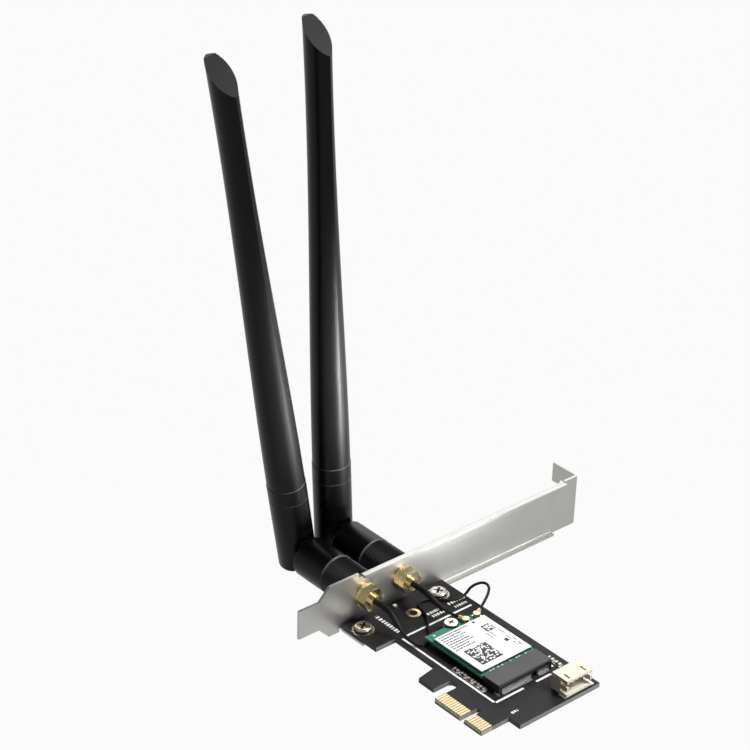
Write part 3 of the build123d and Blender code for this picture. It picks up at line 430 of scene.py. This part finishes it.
DRESSED = {
    "main_board": board_mask, "edge_contacts": contact_gold, "board_pads": ring_plate,
    "io_bracket": nickel, "bracket_screws": board_screw,
    "module_board": module_mask, "module_shield": shield_tin, "module_label": label_stock,
    "radio_chip": package_skin, "module_parts": pale_chip, "aerial_receptacles": gold,
    "socket_housing": socket_black, "socket_tails": tail_tin,
    "module_standoff": tin, "module_screw": module_steel,
    "plug_left": plug_gold, "plug_right": plug_gold, "sleeve_left": jacket, "sleeve_right": jacket,
    "jack_left": gold, "jack_right": gold, "jack_washers": gold, "jack_nuts": gold,
    "jack_insulators": insulator_skin, "jack_pins": gold,
    "header_housing": header_skin, "header_pins": tin, "chip_bodies": chip_skin, "chip_ends": tin,
}
for side in SEATS:
    skin = aerial_skin(side)
    DRESSED.update({
        f"{side}_coupling_nut": nut_skin, f"{side}_nut_insert": gold,
        f"{side}_elbow": skin, f"{side}_plug_body": gold, f"{side}_plug_insulator": insulator_skin,
        f"{side}_plug_contact": gold, f"{side}_hinge_pin": steel,
        f"{side}_whip_foot": skin, f"{side}_whip_collar": skin, f"{side}_whip_sleeve": skin,
        f"{side}_radiator": brass,
    })
for name, material in DRESSED.items():
    nodes[name].data.materials.clear()
    nodes[name].data.materials.append(material)


# New objects


def put(name, data):
    """A new object in the scene."""
    made = bpy.data.objects.new(name, data)
    bpy.context.scene.collection.objects.link(made)
    return made


def mesh_object(name, points, faces, material):
    """A mesh in the scene, from points in millimetres."""
    mesh = bpy.data.meshes.new(name)
    mesh.from_pydata((points.reshape(-1, 3) * MM).tolist(), [], faces)
    mesh.materials.append(material)
    return put(name, mesh)


# Printed marks: their thickness in millimetres, and the share of dark cells in a code

SILK_THICKNESS = 0.02
INK_THICKNESS = 0.012
DARK_CELLS = 0.6


def add_print(name, rows, surface, thickness, ink):
    """Print on the card: a thin open-bottomed block on the surface for each row of (x0, y0, x1, y1)."""
    rows = np.asarray(rows, float)
    x0, y0, x1, y1 = rows.T
    points = np.zeros((len(rows), 2, 4, 3))
    points[..., 0] = np.stack([x0, x1, x1, x0], axis=1)[:, None]
    points[..., 1] = np.stack([y0, y0, y1, y1], axis=1)[:, None]
    points[:, 0, :, 2] = surface
    points[:, 1, :, 2] = surface + thickness
    block = np.array([[4, 5, 6, 7], [0, 1, 5, 4], [1, 2, 6, 5], [2, 3, 7, 6], [3, 0, 4, 7]])
    faces = (np.arange(len(rows))[:, None, None] * 8 + block).reshape(-1, 4).tolist()
    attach(mesh_object(name, points, faces, ink), "card")


def dashes(seed, start, end, width, axis, shares=(0.25, 1.0)):
    """Rows of a broken line that stands for a line of print: seeded blocks of random length along an axis.

    Each block is as long as a share of the width between the two shares.
    """
    rng = np.random.default_rng(seed)
    place = start[axis]
    rows = []
    while place < end:
        run = width * rng.uniform(*shares)
        low = list(start)
        low[axis] = place
        high = [low[0] + width, low[1] + width]
        high[axis] = min(place + run, end)
        rows.append((*low, *high))
        place += run + width * rng.uniform(0.25, 0.5)
    return rows


def border(centre, half_size, width):
    """Rows of four strips just inside the edges of a rectangle."""
    x0, y0 = centre[0] - half_size[0], centre[1] - half_size[1]
    x1, y1 = centre[0] + half_size[0], centre[1] + half_size[1]
    return [
        (x0, y0, x0 + width, y1), (x1 - width, y0, x1, y1),
        (x0 + width, y0, x1 - width, y0 + width), (x0 + width, y1 - width, x1 - width, y1),
    ]


def code_block(seed, centre, side, cells):
    """Rows of a square of random dark cells with two dark sides, seeded: generic, and it carries no data."""
    rng = np.random.default_rng(seed)
    dark = rng.random((cells, cells)) < DARK_CELLS
    dark[0] = True
    dark[:, 0] = True
    pitch = side / cells
    low = np.argwhere(dark) * pitch + np.array(centre) - side / 2
    return np.hstack([low, low + pitch])


# White print on the main board: the module's frame, a dash, pad outlines and lines of print
frame_half = 0.375
frame_left, frame_far, frame_near = 12.98, -0.55, 41.4
silk_rows = [
    (frame_left - frame_half, frame_far - frame_half, frame_left + frame_half, frame_near - 0.3),
    (frame_left - frame_half, frame_far - frame_half, 24.6, frame_far + frame_half),
    (29.95, frame_far - frame_half, 36.1, frame_far + frame_half),
    (15.2, frame_near - frame_half, 42.2, frame_near + frame_half),
    (23.3, 56.2, 23.9, 57.0),
]
pad_half_size, pad_line = (0.85, 1.3), 0.22
for pad in ((14.8, 18.4), (14.9, 15.2), (14.8, 12.1), (14.8, 9.4), (14.7, 6.8), (41.2, 4.8), (41.2, 1.6)):
    silk_rows += border(pad, pad_half_size, pad_line)
silk_rows += dashes(3, (13.7, 44.4), 55.4, 1.4, ALONG_Y, (0.3, 0.75))
silk_rows += dashes(5, (27.6, 45.5), 34.2, 1.1, ALONG_X, (0.3, 0.8))
silk_rows += dashes(6, (28.2, 43.6), 33.0, 1.1, ALONG_X, (0.3, 0.8))
silk_rows += dashes(7, (36.6, 45.6), 43.8, 1.2, ALONG_X, (0.3, 0.7))
silk_rows += dashes(8, (37.3, 43.2), 42.4, 1.0, ALONG_X, (0.3, 0.7))
silk_rows += dashes(9, (13.4, -7.6), 15.8, 0.9, ALONG_X)
add_print("silk_print", silk_rows, top_of("main_board"), SILK_THICKNESS, silk_ink)

# Print on the module's label: two codes, a block of text with three short lines, and marks
label_top = top_of("module_label")
code_rows = np.vstack([code_block(11, (23.8, 16.3), 8.6, 18), code_block(12, (34.2, 25.4), 3.5, 10)])
add_print("label_codes", code_rows, label_top, INK_THICKNESS, label_ink)
text_left, text_top, text_pitch, text_height = 18.0, 29.9, 1.12, 0.52
text_rows = []
for row, line_end in enumerate((29.8, 26.2, 27.0, 25.4, 26.6, 27.4, 24.6, 25.8)):
    line_start = (text_left, text_top - row * text_pitch)
    text_rows += dashes(20 + row, line_start, line_end, text_height, ALONG_X, (0.5, 2.4))
text_rows += dashes(31, (31.4, 20.4), 23.4, 0.5, ALONG_Y)
text_rows += dashes(32, (32.6, 20.4), 23.4, 0.5, ALONG_Y)
text_rows += dashes(33, (35.9, 20.2), 23.2, 0.5, ALONG_Y)
add_print("label_text", text_rows, label_top, INK_THICKNESS, label_grey)
mark_rows = [
    (31.9, 29.7, 32.8, 30.6), (33.5, 16.4, 34.9, 17.9),
    (35.4, 16.6, 35.8, 18.8), (36.3, 15.2, 36.7, 16.8),
]
mark_rows += dashes(34, (34.8, 13.0), 15.4, 0.6, ALONG_Y)
mark_rows += dashes(35, (35.8, 12.6), 14.4, 0.6, ALONG_Y)
add_print("label_marks", mark_rows, label_top, INK_THICKNESS, label_ink)


# Leads: each route is the control polygon of one smooth curve, in millimetres

LEAD_DIAMETER = 0.9


def lead(name, route):
    """A round lead along its route, standing for the solid of the same name."""
    curve = bpy.data.curves.new(name, "CURVE")
    curve.dimensions = "3D"
    curve.bevel_depth = LEAD_DIAMETER / 2 * MM
    curve.bevel_resolution = 5
    curve.resolution_u = 10
    curve.use_fill_caps = True
    spline = curve.splines.new("NURBS")
    spline.points.add(len(route) - 1)
    weights = np.ones((len(route), 1))
    spline.points.foreach_set("co", np.hstack([np.array(route) * MM, weights]).ravel())
    spline.order_u = 3
    spline.use_endpoint_u = True
    curve.materials.append(jacket)
    piece = put(f"{name}_lead", curve)
    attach(piece, "card")
    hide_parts(name)
    return piece


left_route = [
    (12.3, 52.6, 8.4), (12.3, 46.6, 8.4), (12.6, 40.0, 2.535), (13.2, 34.0, 1.435),
    (18.6, 33.6, 1.335), (22.0, 39.6, 1.335), (26.6, 44.6, 1.335), (28.2, 52.2, 1.335),
    (33.2, 51.9, 1.335), (38.4, 46.2, 1.335), (43.6, 45.9, 1.335), (45.6, 45.4, 4.435),
    (49.5, 43.9, 5.235), (49.3, 40.6, 5.035), (44.2, 36.9, 4.555), (38.638, 34.09, 4.355),
]
right_route = [
    (27.9, 52.6, 8.4), (27.9, 47.4, 8.4), (28.6, 43.0, 6.2), (29.768, 38.645, 4.355),
    (30.987, 35.258, 4.355),
]
left_lead = lead("pigtail_left", left_route)
lead("pigtail_right", right_route)


# Floor, light and camera

FLOOR_GREY = (0.25, 0.25, 0.25)
SHADOW_SHARE = 0.04
WORLD_LIGHT = 0.22


def white_where_seen(name, colour, shadow_share):
    """Grey surface that looks plain white, also in mirrors and through glass, but for a share of its shadow."""
    finish = Finish(name, base_color=colour)
    spot, _ = finish.place()
    finish.feed("Roughness", finish.grain(spot, 30.0) * 0.1 + 0.85)
    path = finish.node("ShaderNodeLightPath").outputs
    rays = ("Is Camera Ray", "Is Glossy Ray", "Is Transmission Ray")
    seen = sum(Amount(finish, path[ray]) for ray in rays).clipped()
    glow = finish.node("ShaderNodeEmission", None, {"Color": (1.0, 1.0, 1.0), "Strength": 1.0})
    mix = finish.node("ShaderNodeMixShader", None, {
        0: seen * (1.0 - shadow_share), 1: finish.surface.outputs[0], 2: glow.outputs[0],
    })
    finish.join(mix.outputs[0], finish.tree.nodes["Material Output"].inputs["Surface"])
    return finish.material


def studio_floor(height, reach, sweep, rise):
    """A round floor that sweeps up into a wall: a quarter circle of radius sweep and a rise, turned about z."""
    bend = np.linspace(0.0, math.pi / 2, 13)
    radius = np.append(reach - sweep + sweep * np.sin(bend), reach)
    level = np.append(height + sweep * (1.0 - np.cos(bend)), height + rise)
    turn = np.radians(np.arange(0, 360, 5))
    spokes = len(turn)
    points = np.stack([np.outer(radius, np.cos(turn)), np.outer(radius, np.sin(turn)),
                       np.repeat(level[:, None], spokes, axis=1)], axis=-1)
    ring, spoke = np.meshgrid(np.arange(len(radius) - 1), np.arange(spokes), indexing="ij")
    here = ring * spokes + spoke
    after = ring * spokes + (spoke + 1) % spokes
    wall = np.stack([here, here + spokes, after + spokes, after], axis=-1).reshape(-1, 4)
    faces = [list(range(spokes)), *wall.tolist()]
    white = white_where_seen("floor_white", FLOOR_GREY, SHADOW_SHARE)
    mesh_object("floor", points, faces, white)


def soft_box(name, place, target, size, power, spread):
    """A square area light, its place and target in millimetres, its beam kept within spread degrees."""
    lamp = bpy.data.lights.new(name, "AREA")
    lamp.size = size * MM
    lamp.energy = power
    lamp.spread = math.radians(spread)
    lit = put(name, lamp)
    lit.visible_camera = False
    lit.location = np.array(place) * MM
    dx, dy, dz = np.array(place, float) - np.array(target, float)
    lit.rotation_euler = (math.atan2(math.hypot(dx, dy), dz), 0.0, math.atan2(dx, -dy))


def set_camera(eye, azimuth, elevation, roll, focal):
    """Camera at eye, in millimetres, looking along an azimuth and elevation, turned by roll; in degrees."""
    a, e, r = (math.radians(angle) for angle in (azimuth, elevation, roll))
    back = np.array([math.cos(e) * math.sin(a), -math.cos(e) * math.cos(a), math.sin(e)])
    right = np.array([math.cos(a), math.sin(a), 0.0])
    up = np.cross(back, right)
    matrix = np.eye(4)
    matrix[:3, 0] = math.cos(r) * right + math.sin(r) * up
    matrix[:3, 1] = -math.sin(r) * right + math.cos(r) * up
    matrix[:3, 2] = back
    matrix[:3, 3] = np.array(eye) * MM
    lens = bpy.data.cameras.new("camera")
    lens.lens = focal
    lens.sensor_width = 36.0
    lens.clip_start = 0.01
    camera = put("camera", lens)
    camera.matrix_world = matrix.T.tolist()
    bpy.context.scene.camera = camera


# The floor lies below the aerials when they hang straight down
studio_floor(height=-185.0, reach=3000.0, sweep=600.0, rise=1200.0)

world = bpy.data.worlds.new("studio")
world.use_nodes = True
sky = world.node_tree.nodes["Background"].inputs
sky["Color"].default_value = (1.0, 1.0, 1.0, 1.0)
sky["Strength"].default_value = WORLD_LIGHT
bpy.context.scene.world = world

# Lamps: place and target, size, power in watts and spread
soft_box("key", (240, -200, 430), (70, -30, 0), 180, 0.37, 50)
soft_box("low", (110, -400, 60), (25, 90, 45), 120, 0.03, 20)
soft_box("strip", (141, -118, 0), (20, 92, 72), 30, 0.15, 22)
soft_box("back", (390, 460, 330), (40, 40, 0), 500, 0.30, 60)
soft_box("rim", (200, 460, 60), (20, 92, 95), 60, 0.025, 16)

set_camera(eye=(-351.6, -358.5, 382.3), azimuth=-41.24, elevation=28.18, roll=1.63, focal=102.4)
bpy.context.scene.view_settings.view_transform = "Standard"
